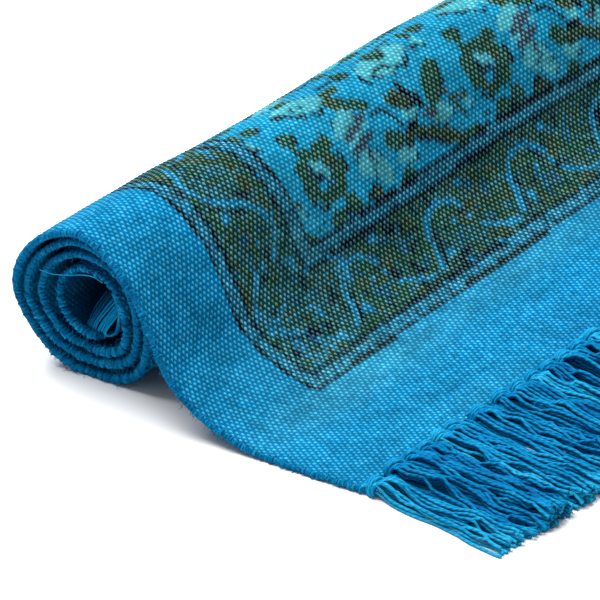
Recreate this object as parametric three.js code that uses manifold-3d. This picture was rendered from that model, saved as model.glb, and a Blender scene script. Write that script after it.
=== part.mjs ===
// Kilim rug lying partly unrolled: a roll of about four loose turns, from whose top the
// loose end runs down to the floor. A knotted fringe closes each end of the cloth.
// Millimetres, +Z up. X runs across the rug, along the roll. Y runs along the rug, away
// from the fringe on the floor. Z = 0 is the floor.
import * as THREE from "three";
import { mergeVertices } from "three/addons/utils/BufferGeometryUtils.js";
import Module from "manifold-3d";

const wasm = await Module();
wasm.setup();

// Cloth
const RUG_WIDTH = 800;
const CLOTH_THICKNESS = 5.2;
const HALF_CLOTH = CLOTH_THICKNESS / 2;
const FLAT_LENGTH = 57;
const STATION_STEP = 12;
const SLICES = 8;

// The roll narrows a little along its length and its section swells and sinks
const TAPER_PER_MM = 0.00011;
const SWELL = 0.006;
const SWELL_LENGTH = 310;

// The woven end is not quite straight
const END_WAVE = 1.6;
const END_WAVE_LENGTH = 260;

// Middle line of the cloth from the floor to the top of the roll. The cloth lies askew on
// the roll, so its edge is set back from the edge of the flat end.
const RISE = [
  { y: 0, z: 2.6, setBack: 0 },
  { y: 35, z: 4.6, setBack: 0 },
  { y: 69, z: 14.8, setBack: 0 },
  { y: 98, z: 35.4, setBack: 0.5 },
  { y: 117.5, z: 64.3, setBack: 5 },
  { y: 138, z: 91.8, setBack: 9 },
  { y: 160, z: 108.2, setBack: 10.5 },
];

// Middle line of each turn, as distances from the middle of the roll. The angle starts on
// the side of the loose end and climbs over the top. The first two places of the outer turn
// belong to the rise above. Each turn ends where the next begins.
const ROLL_MIDDLE = { y: 182, z: 55 };
const TURNS = [
  { angle: 0, outer: null, second: 48.6, third: 39.6, inner: 29.7 },
  { angle: 45, outer: null, second: 49.0, third: 40.0, inner: 28.8 },
  { angle: 90, outer: 58.3, second: 48.8, third: 37.5, inner: 27.0 },
  { angle: 135, outer: 52.6, second: 44.8, third: 36.0, inner: 24.4 },
  { angle: 180, outer: 54.8, second: 47.0, third: 37.2, inner: 22.2 },
  { angle: 225, outer: 53.4, second: 44.0, third: 34.6, inner: 21.2 },
  { angle: 270, outer: 54.2, second: 41.9, third: 32.4, inner: 22.0 },
  { angle: 315, outer: 55.0, second: 46.0, third: 36.4, inner: null },
];
const INNER_END = { angle: 298, radius: 23.2 };

// Set-back of each turn's edge, at the top of the roll and on the floor
const SET_BACK = [
  { turn: "outer", top: 11, floor: 32 },
  { turn: "second", top: 18, floor: 30 },
  { turn: "third", top: 23, floor: 29 },
  { turn: "inner", top: 25, floor: 28 },
];

// Fringe
const TASSELS = 38;
const TASSEL_PITCH = RUG_WIDTH / TASSELS;
const PIECE_GAP = 0.3;
const KNOT_ROW = 8;
const KNOT_LOBE = 3;
const KNOT_HEIGHT = 6;
const FRINGE_LENGTH = 108;
const LENGTH_SPREAD = 4;
const BEND = 1.2;
const LOCKS_PER_TASSEL = 4;
const LOCK_WIDTH = 2.6;
const LOCK_ROOT_PITCH = 3.6;
const LOCK_TIP_PITCH = 4.8;
const LOCK_ROOT_HEIGHT = 5;
const LOCK_TIP_HEIGHT = 2.6;
const LOCK_STEPS = 3;

// Lean of the tassels across the rug, at places along its width, as a slope
const LEAN = [
  { across: 0, slope: -0.22 },
  { across: 60, slope: -0.17 },
  { across: 180, slope: -0.09 },
  { across: 400, slope: 0.02 },
  { across: 620, slope: -0.03 },
  { across: 800, slope: 0.05 },
];

// Fringe of the inner end, curled along the wall of the innermost turn
const INNER_LOCKS_PER_TASSEL = 2;
const INNER_LOCK_STEPS = 6;
const INNER_LOCK_DEPTH = 3;
const INNER_STRIP_LENGTH = 5;
const INNER_REACH = 0.93;
const INNER_REACH_SPREAD = 0.06;
const INNER_CURL = [
  { angle: 335, radius: 23.8 },
  { angle: 0, radius: 24.0 },
  { angle: 45, radius: 22.6 },
  { angle: 90, radius: 20.2 },
  { angle: 135, radius: 17.2 },
  { angle: 180, radius: 14.8 },
];

// Colours
const GROUND_BLUE = 0x1c93c4;
const FRINGE_BLUE = 0x1f8fc0;

function onRoll(angle, radius, setBack = 0) {
  const turned = THREE.MathUtils.degToRad(angle);
  const y = ROLL_MIDDLE.y - radius * Math.cos(turned);
  const z = ROLL_MIDDLE.z + radius * Math.sin(turned);
  return new THREE.Vector3(setBack, y, z);
}

// Middle line of the whole cloth: x holds the set-back of the edge
function clothLine() {
  const points = [new THREE.Vector3(0, -FLAT_LENGTH, HALF_CLOTH)];
  points.push(new THREE.Vector3(0, -FLAT_LENGTH / 2, HALF_CLOTH));
  for (const { y, z, setBack } of RISE) points.push(new THREE.Vector3(setBack, y, z));
  for (const { turn, top, floor } of SET_BACK) {
    for (const row of TURNS) {
      if (row[turn] === null) continue;
      const share = (1 + Math.cos(THREE.MathUtils.degToRad(row.angle - 90))) / 2;
      points.push(onRoll(row.angle, row[turn], floor + (top - floor) * share));
    }
  }
  points.push(onRoll(INNER_END.angle, INNER_END.radius, SET_BACK.at(-1).floor));
  return new THREE.CatmullRomCurve3(points, false, "centripetal");
}

// Points and upper-face normals of a line, with no point lower than the cloth can lie
function stations(points) {
  for (const point of points) point.z = Math.max(point.z, HALF_CLOTH);
  return points.map((point, i) => {
    const before = points[Math.max(i - 1, 0)];
    const after = points[Math.min(i + 1, points.length - 1)];
    const along = after.clone().sub(before).setX(0).normalize();
    return { point, along, up: new THREE.Vector3(0, -along.z, along.y) };
  });
}

// Where a place of the section lies at a distance across the rug
function settle(across, y, z, setBack) {
  const swell = SWELL * Math.sin((2 * Math.PI * across) / SWELL_LENGTH);
  const grow = 1 - TAPER_PER_MM * across + swell;
  const wave = END_WAVE * Math.sin((2 * Math.PI * across) / END_WAVE_LENGTH);
  const flat = Math.min(Math.max(-y / FLAT_LENGTH, 0), 1);
  return [
    across + setBack,
    y > 0 ? y * grow : y + wave * flat,
    z > HALF_CLOTH ? HALF_CLOTH + (z - HALF_CLOTH) * grow : z,
  ];
}

// Closed mesh from rings of equal length, joined in turn, with a cap on both ends.
// A cap is a list of triples of places in the ring.
function loft(rings, cap) {
  const size = rings[0].length;
  const position = rings.flat(2);
  const index = [];
  for (let r = 0; r + 1 < rings.length; r += 1) {
    for (let i = 0; i < size; i += 1) {
      const a = r * size + i;
      const b = r * size + ((i + 1) % size);
      index.push(a, a + size, b, b, a + size, b + size);
    }
  }
  const last = (rings.length - 1) * size;
  for (const [a, b, c] of cap) {
    index.push(a, b, c);
    index.push(last + a, last + c, last + b);
  }
  const geometry = new THREE.BufferGeometry();
  geometry.setAttribute("position", new THREE.Float32BufferAttribute(position, 3));
  geometry.setIndex(index);
  return geometry;
}

// A sheet whose section follows a line of places, swept across the rug in slices
function sheetSolid(places, thickness) {
  const rings = [];
  for (let slice = 0; slice <= SLICES; slice += 1) {
    const across = (RUG_WIDTH * slice) / SLICES;
    const face = (offset) => places.map(({ point, up }) => {
      const [x, y, z] = settle(across, point.y, point.z, point.x);
      return [x, y + offset * up.y, z + offset * up.z];
    });
    rings.push([...face(thickness / 2), ...face(-thickness / 2).reverse()]);
  }
  const cap = [];
  for (let i = 0; i + 1 < places.length; i += 1) {
    const under = 2 * places.length - 1 - i;
    cap.push([i, i + 1, under], [i + 1, under - 1, under]);
  }
  return loft(rings, cap);
}

function clothSolid(line) {
  const count = Math.round(line.getLength() / STATION_STEP);
  return sheetSolid(stations(line.getSpacedPoints(count)), CLOTH_THICKNESS);
}

function leanAt(across) {
  const after = Math.max(LEAN.findIndex((row) => row.across >= across), 1);
  const from = LEAN[after - 1];
  const to = LEAN[after];
  const share = (across - from.across) / (to.across - from.across);
  return THREE.MathUtils.lerp(from.slope, to.slope, share);
}

// Three-sided lock: two corners of each ring on the floor side and one ridge above them
function lock(rings) {
  return loft(rings, [[0, 1, 2]]);
}

function solidOf(geometry) {
  const bare = geometry.clone();
  bare.deleteAttribute("normal");
  bare.deleteAttribute("uv");
  const merged = mergeVertices(bare, 1e-4);
  return new wasm.Manifold(new wasm.Mesh({
    numProp: 3,
    vertProperties: merged.attributes.position.array,
    triVerts: new Uint32Array(merged.index.array),
  }));
}

function fuse(geometries) {
  const whole = geometries.map(solidOf).reduce((sum, solid) => sum.add(solid));
  const { vertProperties, triVerts } = whole.getMesh();
  const geometry = new THREE.BufferGeometry();
  geometry.setAttribute("position", new THREE.BufferAttribute(vertProperties, 3));
  geometry.setIndex(new THREE.BufferAttribute(triVerts, 1));
  return geometry;
}

// Knot row along the woven end: straight behind, one lobe for each knot in front
function knotRow() {
  const outline = new THREE.Shape();
  const endAt = (across) => settle(across, -FLAT_LENGTH, HALF_CLOTH, 0)[1] - PIECE_GAP;
  outline.moveTo(0, endAt(0));
  for (let tassel = 0; tassel < TASSELS; tassel += 1) {
    const across = tassel * TASSEL_PITCH;
    const front = endAt(across + TASSEL_PITCH / 2) - KNOT_ROW;
    outline.lineTo(across + TASSEL_PITCH * 0.1, front + KNOT_LOBE);
    outline.lineTo(across + TASSEL_PITCH * 0.3, front);
    outline.lineTo(across + TASSEL_PITCH * 0.7, front);
    outline.lineTo(across + TASSEL_PITCH * 0.9, front + KNOT_LOBE);
  }
  for (let slice = 0; slice <= SLICES; slice += 1) {
    const across = RUG_WIDTH * (1 - slice / SLICES);
    outline.lineTo(across, endAt(across));
  }
  return new THREE.ExtrudeGeometry(outline, { depth: KNOT_HEIGHT, bevelEnabled: false });
}

// One lock of the fringe on the floor: its length and bend vary from lock to lock
function frontLock(tassel, strand) {
  const middle = (tassel + 0.5) * TASSEL_PITCH;
  const place = strand - (LOCKS_PER_TASSEL - 1) / 2;
  const start = settle(middle, -FLAT_LENGTH, HALF_CLOTH, 0)[1] - PIECE_GAP - KNOT_ROW / 2;
  const length = FRINGE_LENGTH + LENGTH_SPREAD * Math.sin(2.1 * tassel + 1.3 * strand);
  const rings = [];
  for (let step = 0; step <= LOCK_STEPS; step += 1) {
    const share = step / LOCK_STEPS;
    const root = middle + place * LOCK_ROOT_PITCH;
    const tip = middle + place * LOCK_TIP_PITCH + leanAt(middle) * length;
    const bend = BEND * Math.sin(Math.PI * share) * Math.sin(1.7 * tassel);
    const x = THREE.MathUtils.lerp(root, tip, share) + bend;
    const y = start - length * share;
    const height = THREE.MathUtils.lerp(LOCK_ROOT_HEIGHT, LOCK_TIP_HEIGHT, share);
    rings.push([[x + LOCK_WIDTH / 2, y, 0], [x - LOCK_WIDTH / 2, y, 0], [x, y, height]]);
  }
  return lock(rings);
}

function frontFringe() {
  const pieces = [knotRow()];
  for (let tassel = 0; tassel < TASSELS; tassel += 1) {
    for (let strand = 0; strand < LOCKS_PER_TASSEL; strand += 1) {
      pieces.push(frontLock(tassel, strand));
    }
  }
  return fuse(pieces);
}

// Line of the inner fringe, from the inner end of the cloth around inside the roll
function curlLine(line) {
  const end = line.getPoint(1);
  const along = line.getTangent(1).setX(0).normalize();
  const points = [end.clone().addScaledVector(along, PIECE_GAP)];
  points.push(end.clone().addScaledVector(along, PIECE_GAP + INNER_STRIP_LENGTH));
  for (const { angle, radius } of INNER_CURL) {
    points.push(onRoll(angle, radius, end.x));
  }
  return new THREE.CatmullRomCurve3(points, false, "centripetal");
}

function innerStrip(line) {
  const reach = (INNER_STRIP_LENGTH + PIECE_GAP) / line.getLength();
  const points = [0, reach / 2, reach].map((share) => line.getPointAt(share));
  return sheetSolid(stations(points), INNER_LOCK_DEPTH);
}

// One lock of the inner fringe, with its flat side along the wall
function innerLock(line, across, reach) {
  const from = INNER_STRIP_LENGTH / 2 / line.getLength();
  const points = [];
  for (let step = 0; step <= INNER_LOCK_STEPS; step += 1) {
    points.push(line.getPointAt(THREE.MathUtils.lerp(from, reach, step / INNER_LOCK_STEPS)));
  }
  const rings = stations(points).map(({ point, up }) => {
    const [x, y, z] = settle(across, point.y, point.z, point.x);
    const half = INNER_LOCK_DEPTH / 2;
    const wall = [y - up.y * half, z - up.z * half];
    return [
      [x - LOCK_WIDTH / 2, ...wall],
      [x + LOCK_WIDTH / 2, ...wall],
      [x, y + up.y * half, z + up.z * half],
    ];
  });
  return lock(rings);
}

function innerFringe(line) {
  const curl = curlLine(line);
  const pieces = [innerStrip(curl)];
  const count = TASSELS * INNER_LOCKS_PER_TASSEL;
  for (let i = 0; i < count; i += 1) {
    const across = (RUG_WIDTH * (i + 0.5)) / count;
    pieces.push(innerLock(curl, across, INNER_REACH + INNER_REACH_SPREAD * Math.sin(2.3 * i)));
  }
  return fuse(pieces);
}

function named(name, geometry, color, roughness) {
  const material = new THREE.MeshStandardMaterial({ color, roughness, metalness: 0 });
  const mesh = new THREE.Mesh(geometry, material);
  mesh.name = name;
  return mesh;
}

const line = clothLine();
const rug = new THREE.Group();
rug.add(named("rug", clothSolid(line), GROUND_BLUE, 0.95));
rug.add(named("fringe_front", frontFringe(), FRINGE_BLUE, 0.9));
rug.add(named("fringe_inner", innerFringe(line), FRINGE_BLUE, 0.9));

// The origin is on the floor under the middle of the whole
const box = new THREE.Box3().setFromObject(rug);
const middle = box.getCenter(new THREE.Vector3());
rug.position.set(-middle.x, -middle.y, -box.min.z);

export default rug;
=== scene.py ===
import math

import bpy
import numpy as np
from mathutils import Matrix, Vector


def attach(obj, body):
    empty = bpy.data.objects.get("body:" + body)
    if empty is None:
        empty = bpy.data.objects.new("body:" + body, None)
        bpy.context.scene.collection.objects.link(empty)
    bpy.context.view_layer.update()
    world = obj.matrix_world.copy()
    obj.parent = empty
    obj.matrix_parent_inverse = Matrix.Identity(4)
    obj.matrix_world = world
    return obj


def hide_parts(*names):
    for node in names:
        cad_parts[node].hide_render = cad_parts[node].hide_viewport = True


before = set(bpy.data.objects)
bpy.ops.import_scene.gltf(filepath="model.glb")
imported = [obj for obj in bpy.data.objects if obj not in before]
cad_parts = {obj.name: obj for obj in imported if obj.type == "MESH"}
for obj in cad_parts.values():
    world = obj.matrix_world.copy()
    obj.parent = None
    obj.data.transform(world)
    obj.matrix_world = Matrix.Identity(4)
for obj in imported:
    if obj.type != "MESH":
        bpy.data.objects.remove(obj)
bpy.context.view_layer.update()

# The cloth's shape. It is one coarse cotton sheet that lies as a loose roll of about four turns,
# and its free end runs down from the top of the roll to the floor. All sizes are in millimetres,
# across the rug, along it away from the fringe on the floor, and up.
MM = 0.001
PART_ORIGIN = np.array([405.605, 32.276, 0.0])
CLOTH_WIDTH = 800.0
WARPS = 372
WARP_PITCH = CLOTH_WIDTH / WARPS
PICKS = 367
HALF_CLOTH = 2.6
FLAT_LENGTH = 57.0
TAPER_PER_MM = 0.00011
SWELL, SWELL_LENGTH = 0.006, 310.0
END_WAVE, END_WAVE_LENGTH = 1.6, 260.0
# how unevenly the cloth lies: height of the bumps, their size, seed, shift of the pattern
UNEVEN = [(0.9, 38, 3, 900), (0.5, 14, 4, 0)]

# place along the rug, height, set-back of the edge
RISE = [
    (0, 2.6, 0), (35, 4.6, 0), (69, 14.8, 0), (98, 35.4, 0.5),
    (117.5, 64.3, 5), (138, 91.8, 9), (160, 108.2, 10.5),
]
ROLL_MIDDLE = (182.0, 55.0)
# angle from the side of the loose end over the top; distance of each turn from the middle
TURNS = [
    (0, None, 48.6, 39.6, 29.7), (45, None, 49.0, 40.0, 28.8),
    (90, 58.3, 48.8, 37.5, 27.0), (135, 52.6, 44.8, 36.0, 24.4),
    (180, 54.8, 47.0, 37.2, 22.2), (225, 53.4, 44.0, 34.6, 21.2),
    (270, 54.2, 41.9, 32.4, 22.0), (315, 55.0, 46.0, 36.4, None),
]
INNER_END = (298, 23.2)
# set-back of each turn's edge at the top of the roll and on the floor
SET_BACK = [(11, 32), (18, 30), (23, 29), (25, 28)]


def on_roll(angle, radius, set_back):
    """A point at an angle and a distance from the middle of the roll."""
    turned = math.radians(angle)
    return (
        set_back,
        ROLL_MIDDLE[0] - radius * math.cos(turned),
        ROLL_MIDDLE[1] + radius * math.sin(turned),
    )


def cloth_points():
    """Points along the near edge of the cloth, from the fringe on the floor to the inner end."""
    points = [(0, -FLAT_LENGTH, HALF_CLOTH), (0, -FLAT_LENGTH / 2, HALF_CLOTH)]
    points += [(set_back, y, z) for y, z, set_back in RISE]
    for turn, (top, floor) in enumerate(SET_BACK):
        for row in TURNS:
            if row[turn + 1] is None:
                continue
            share = (1 + math.cos(math.radians(row[0] - 90))) / 2
            points.append(on_roll(row[0], row[turn + 1], floor + (top - floor) * share))
    points.append(on_roll(*INNER_END, SET_BACK[-1][1]))
    return np.array(points, float)


def smooth_line(points, steps=80):
    """Dense points of the centripetal spline through some points."""
    ends = [2 * points[0] - points[1]], [2 * points[-1] - points[-2]]
    p = np.vstack([ends[0], points, ends[1]])
    out = []
    for i in range(1, len(p) - 2):
        p0, p1, p2, p3 = p[i - 1:i + 3]
        d0, d1, d2 = (np.linalg.norm(b - a) ** 0.5 for a, b in ((p0, p1), (p1, p2), (p2, p3)))
        t1 = ((p1 - p0) / d0 - (p2 - p0) / (d0 + d1) + (p2 - p1) / d1) * d1
        t2 = ((p2 - p1) / d1 - (p3 - p1) / (d1 + d2) + (p3 - p2) / d2) * d1
        t = np.linspace(0, 1, steps, endpoint=False)[:, None]
        out.append(
            p1 + t1 * t + (-3 * p1 + 3 * p2 - 2 * t1 - t2) * t ** 2
            + (2 * p1 - 2 * p2 + t1 + t2) * t ** 3
        )
    out.append(points[-1:])
    return np.vstack(out)


class Course:
    """A line that is read by its length, with the direction in which it runs."""

    def __init__(self, points):
        self.points = smooth_line(points)
        self.points[:, 2] = np.maximum(self.points[:, 2], HALF_CLOTH)
        steps = np.linalg.norm(np.diff(self.points, axis=0), axis=1)
        self.along = np.concatenate([[0], np.cumsum(steps)])
        self.length = self.along[-1]
        run = np.gradient(self.points[:, 1:], axis=0)
        run /= np.linalg.norm(run, axis=1)[:, None]
        self.run = run

    def at(self, along):
        """Set-back, place, height, and the direction along the line at these lengths."""
        read = [np.interp(along, self.along, column) for column in (*self.points.T, *self.run.T)]
        set_back, y, z, run_y, run_z = read
        size = np.hypot(run_y, run_z)
        return set_back, y, z, run_y / size, run_z / size


def wave(along, height, length, phase=0.0):
    """A swing to and fro by a height, once in a length."""
    return height * np.sin(2 * np.pi * along / length + phase)


def settle(across, y, z, set_back):
    """Where a place of the section lies at a distance across the rug."""
    grow = 1 - TAPER_PER_MM * across + wave(across, SWELL, SWELL_LENGTH)
    flat = np.clip(-y / FLAT_LENGTH, 0, 1)
    return (
        across + set_back,
        np.where(y > 0, y * grow, y + wave(across, END_WAVE, END_WAVE_LENGTH) * flat),
        np.where(z > HALF_CLOTH, HALF_CLOTH + (z - HALF_CLOTH) * grow, z),
    )


cloth_course = Course(cloth_points())
PICK_PITCH = cloth_course.length / PICKS


def patches(x, y, size, seed):
    """Smooth uneven values from 0 to 1, with patches of about one size."""
    lattice = np.random.default_rng(seed).random((64, 64))
    gx, gy = np.asarray(x, float) / size, np.asarray(y, float) / size
    ix, iy = np.floor(gx).astype(int), np.floor(gy).astype(int)
    fx, fy = gx - ix, gy - iy
    fx, fy = fx * fx * (3 - 2 * fx), fy * fy * (3 - 2 * fy)
    a, b = lattice[ix % 64, iy % 64], lattice[(ix + 1) % 64, iy % 64]
    c, d = lattice[ix % 64, (iy + 1) % 64], lattice[(ix + 1) % 64, (iy + 1) % 64]
    return (a * (1 - fx) + b * fx) * (1 - fy) + (c * (1 - fx) + d * fx) * fy


def cloth_place(across, along, lift):
    """Points of the cloth at places across and along it, lifted off its middle."""
    set_back, y, z, run_y, run_z = cloth_course.at(along)
    x, y, z = settle(across, y, z, set_back)
    sag = sum(
        height * (patches(across + shift, along, size, seed) - 0.5)
        for height, size, seed, shift in UNEVEN
    )
    lift = lift + sag
    return np.stack([x, y - run_z * lift, z + run_y * lift], axis=-1)


# The print on the cloth's face: a worn floral pattern of the old oriental kind, in a border of
# lines and a running vine. It is dabbed on the raised yarns, so every edge steps from crown to
# crown, and the yarns are paler on their crowns.

# inks: name, colour between the crowns, colour on the crowns, as 0 to 255
INKS = [
    ("bare", (0, 93, 139), (46, 147, 180)),
    ("line", (0, 8, 16), (60, 86, 98)),
    ("green", (6, 45, 35), (79, 113, 103)),
    ("olive", (19, 39, 26), (88, 112, 96)),
    ("plum", (24, 50, 66), (92, 114, 126)),
    ("aqua", (42, 129, 143), (100, 163, 170)),
    ("vine", (4, 86, 122), (76, 152, 180)),
    ("teal", (6, 56, 66), (84, 138, 145)),
    ("speck", (0, 50, 70), (76, 120, 136)),
    ("strip", (0, 74, 100), (88, 150, 170)),
    # back: the plain dyed back, made darker than the face as painted shade, for it shows only inside the
    # roll
    ("back", (0, 62, 100), (0, 66, 106)),
    ("field", (0, 104, 142), (58, 146, 168)),
    # rim: paler blue on the edges of the outer turns at the roll's end, painted light
    ("rim", (4, 96, 142), (14, 112, 158)),
]
INK = {name: i for i, (name, _, _) in enumerate(INKS)}

# The border's parts, as depths from the edge of the cloth. The second row says where those of the
# first row lie at the two ends, where the border is drawn out.
SIDE_DEPTH = [0, 88, 100.5, 101, 164, 165.5, 178.5, 578.5]
END_DEPTH = [0, 99.8, 112.4, 113.8, 172.5, 174.3, 185.8, 585.8]
OUTER_STRIP, BAND, INNER_STRIP = (88, 100), (101.0, 164.5), (166, 178)
FIELD_DEPTH, FIELD_START = SIDE_DEPTH[6], END_DEPTH[6]
# lines of the border: depth, width at the sides, width at the ends
LINES = [(88, 3.4, 4.5), (100.4, 3.0, 3.6), (165.6, 4.0, 4.4), (178.5, 3.4, 4.6)]
# repeats of the vine and of the motifs: their length, how much of it lies before their start,
# and where the first one starts
VINE_PITCH, VINE_BEFORE, VINE_FROM_SIDE, VINE_FROM_END = 98.8, 45, 209.6, 212
MOTIF_PITCH, MOTIF_BEFORE, FIRST_ROSETTE = 195.3, 32, 218.4
FIELD_ROWS = 8
# past this place the motifs are squeezed across the cloth
SQUEEZE_FROM, SQUEEZE = 500, 1.226
# how far the print wanders: its dabs across and along, and the border's edge
DAB_SHIFT, EDGE_SHIFT = (1.0, 1.6), 1.6
# length of the corners along the border
CORNER = 58

# Vine of the border, in one repeat: ink, width, and points as place along and share of the
# band's depth.
VINE_STROKES = [
    ("vine", 4.8, [(-40, .16), (-30, .37), (-25, .57), (-17.5, .71), (-9.6, .80), (0, .83),
                   (9.6, .79), (16.7, .69), (19.9, .59), (18.0, .46)]),
    ("vine", 4.4, [(21, .31), (33.5, .185), (43, .105), (52.6, .13), (59, .17)]),
    ("speck", 3.6, [(-4.8, .30), (1.6, .25), (8, .185)]),
    ("speck", 3.6, [(43, .61), (51, .74), (59, .78)]),
    ("speck", 3.2, [(45, .56), (53, .66)]),
    ("line", 3.0, [(-35, .12), (-22, .42), (-19, .55)]),
    ("line", 3.0, [(14, .58), (24, .50), (27, .36)]),
]
# ink, place along, share of depth, half length, half width
VINE_BLOBS = [
    ("vine", -21.5, .25, 5, 4.4), ("speck", -44.6, .315, 5, 3), ("speck", -3.2, .37, 4, 3.4),
    ("speck", 9.6, .33, 4.5, 3), ("vine", 27.9, .885, 5, 3.2), ("olive", 27, .065, 7, 4),
    ("olive", 25, .56, 7, 6), ("green", 2, .62, 8, 5), ("speck", 36, .80, 6, 4),
    ("olive", -34, .80, 7, 5), ("vine", 4, .52, 2.5, 2.2), ("speck", 33, .36, 3, 2.4),
]

# Field, in one repeat, with places from the middle of the rosette and from the border's inner
# line: ink, across, up, half length, half width, tilt in degrees. The pale leaves have a broken
# rim of specks, and the larger of the dark ones a shade on one side.
PALE_RIM = (1.8, 2.2)
PALE_LEAVES = [
    ("aqua", 31, 88, 23, 9, -14), ("aqua", 45.4, 58.6, 17, 6.5, 24),
    ("aqua", 45.4, 25.3, 13, 9, 8), ("aqua", 56, 15.7, 8, 9, 0), ("aqua", 84, 17, 11, 7, 0),
    ("aqua", 133, 27, 12, 6.5, -12), ("aqua", 170, 23.7, 12, 9, 0), ("field", -25, 14, 9, 6, 0),
    ("aqua", 120, 82, 28, 12, 3), ("aqua", 164, 80, 10, 5, 20), ("aqua", 104, 40, 8, 5, 0),
]
SHADE_SHIFT, SHADED_WIDTH, SHADED_ABOVE = (1.8, -1.4), 4.5, 12
DARK_LEAVES = [
    ("plum", 48.6, 40.2, 16, 4.3, 17), ("plum", 50.6, 51.6, 17, 4.3, 17),
    ("olive", 60.5, 84, 10.5, 3.6, 4), ("olive", 53, 74.5, 9, 6.2, -34),
    ("green", 66, 66.2, 11, 5.6, -34),
    ("green", -8, 69, 7.5, 6.4, 20), ("line", -13.5, 72, 2, 3.6, 0),
    ("olive", 104, 51, 12.5, 8.6, -22), ("line", 115.5, 46, 4.2, 8, 12),
    ("olive", 93.4, 56, 3, 5.4, 24), ("line", 110.3, 58, 3, 6, -8),
    ("green", 139.4, 49.1, 19, 8.6, 48), ("plum", 145.8, 37.2, 3.4, 3, 0),
    ("green", 76.5, 30.8, 9.6, 7.8, 0), ("line", 100.4, 31.6, 7.5, 3.2, 0),
    ("plum", 122.7, 31.6, 8, 4.4, -10), ("plum", 50, 29.2, 3.4, 3, 0),
    ("green", -2.4, 6.2, 10, 6, 8), ("green", 15.1, 9.4, 8, 7.4, -30),
    ("olive", 39, 6.2, 9, 6, 10), ("green", 77.3, 3.8, 9, 4.5, 0),
    ("green", 153.7, 3.8, 10, 4.5, 0), ("line", 6.5, 5, 2.5, 4, 0),
    ("green", 85.2, 92.8, 6.5, 6, 0), ("green", 123.5, 91, 8, 7.4, 0),
    ("green", 163, 92, 8.5, 6, 10), ("green", -21.5, 91, 9, 5.5, 8),
    ("plum", 105.9, 71.3, 3.4, 3, 0), ("plum", 10.3, 87.3, 4, 3.6, 0),
    ("olive", 30, 99, 10, 3, 0), ("olive", 145, 97, 9, 3, 0),
]
# stems and outlines: ink, width, points
FIELD_STROKES = [
    ("green", 4.4, [(-10.5, 57), (-8, 65)]),
    ("green", 11.0, [(2, 51), (13, 53), (20, 55)]),
    ("line", 3.4, [(24.6, 44), (25.4, 37), (24.4, 30)]),
    ("line", 3.4, [(-19, 22), (-15, 18), (-9, 15.5)]),
    ("line", 3.6, [(70.9, 53.9), (77.5, 54.2), (83.6, 50.7), (88.6, 44), (91.2, 36), (91.6, 30)]),
    ("line", 3.4, [(31, 75), (34.2, 71.4), (40.6, 75.6)]),
    ("line", 3.2, [(4, 89), (12, 85.4), (18, 80.5), (24, 77.4)]),
    ("olive", 4.2, [(147.4, 31.6), (154, 30.6), (161.7, 28.2)]),
    ("olive", 4.0, [(147.4, 31.6), (150.4, 24), (153.4, 17)]),
    ("olive", 9.0, [(86.8, 25.3), (105.9, 24.2), (117, 19.4), (131.4, 10.4), (142, 4.6)]),
    ("line", 3.0, [(84, 22), (103, 20.6), (114, 15), (127, 6)]),
    ("line", 3.2, [(93, 81), (91.6, 76), (96.4, 69.7)]),
    ("line", 3.2, [(99.6, 75.3), (109.1, 77.2), (118.7, 76.9), (125, 71.3), (131.4, 67.4), (139.4, 71.8)]),
    ("line", 3.2, [(147.4, 74.5), (156.9, 76.4), (163, 73)]),
    ("line", 3.4, [(171.3, 89), (169.5, 83), (166.5, 77.8)]),
    ("line", 3.0, [(33, 6), (40, 12.5), (47, 6)]),
    ("line", 2.8, [(60, 92.5), (76, 90), (86, 86)]),
    ("aqua", 2.4, [(35, 41.5), (65, 50.5)]),
]
# The rosette: a ring with seven lobes, and the spots and the stroke in its middle.
RING_MIDDLE, RING_SIZE, RING_LOBES = (0, 37), (23.4, 20.6), 7
RING_SPOTS = [
    ("speck", -1, 38, 9.6, 12.4, 10), ("aqua", -1.5, 44, 6.2, 5.4, 0),
    ("aqua", 4.5, 37.5, 3.2, 4.2, 0), ("field", -4, 30, 4.6, 4.2, 0),
]
RING_STROKE = [(-7, 43), (-8, 36), (-3, 34.5)]

# The cloth lies a little askew, so the print runs off its threads: drift across the cloth at
# places along it, drift along it at places across, and the share of that at places along it.
DRIFT_ACROSS = [(100, 0), (140, 4), (180, 7.5), (220, 9), (260, 10), (290, 12), (600, 0)]
DRIFT_ALONG = [(100, 0), (200, 5), (300, 6.5), (400, 9.5), (800, 9.5)]
ASKEW = [(100, 0.7), (190, 1), (400, 1), (600, 0)]


def near_stroke(x, y, points, width):
    """Whether places lie on a stroke of some width through the points."""
    inside = np.zeros(x.shape, bool)
    for (ax, ay), (bx, by) in zip(points, points[1:]):
        dx, dy = bx - ax, by - ay
        share = np.clip(((x - ax) * dx + (y - ay) * dy) / (dx * dx + dy * dy), 0, 1)
        inside |= np.hypot(x - ax - share * dx, y - ay - share * dy) <= width / 2
    return inside


def in_blob(x, y, cx, cy, half_long, half_wide, tilt):
    """Whether places lie in a leaf, which is a tilted oval with blunt sides."""
    turned = math.radians(tilt)
    dx, dy = x - cx, y - cy
    u = (dx * math.cos(turned) + dy * math.sin(turned)) / half_long
    v = (dy * math.cos(turned) - dx * math.sin(turned)) / half_wide
    return np.abs(u) ** 1.7 + np.abs(v) ** 1.7 <= 1


def print_vine(ink, x, share, inside):
    """One side of the border. x runs along it, and share is the place in the band's depth."""
    depth = BAND[1] - BAND[0]
    x, y = (x + VINE_BEFORE) % VINE_PITCH - VINE_BEFORE, share * depth
    for shift in (0, VINE_PITCH):
        for name, width, points in VINE_STROKES:
            run = [(px, share_y * depth) for px, share_y in points]
            ink[inside & near_stroke(x - shift, y, run, width)] = INK[name]
        for name, px, share_y, *half in VINE_BLOBS:
            ink[inside & in_blob(x - shift, y, px, share_y * depth, *half, 0)] = INK[name]


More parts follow.
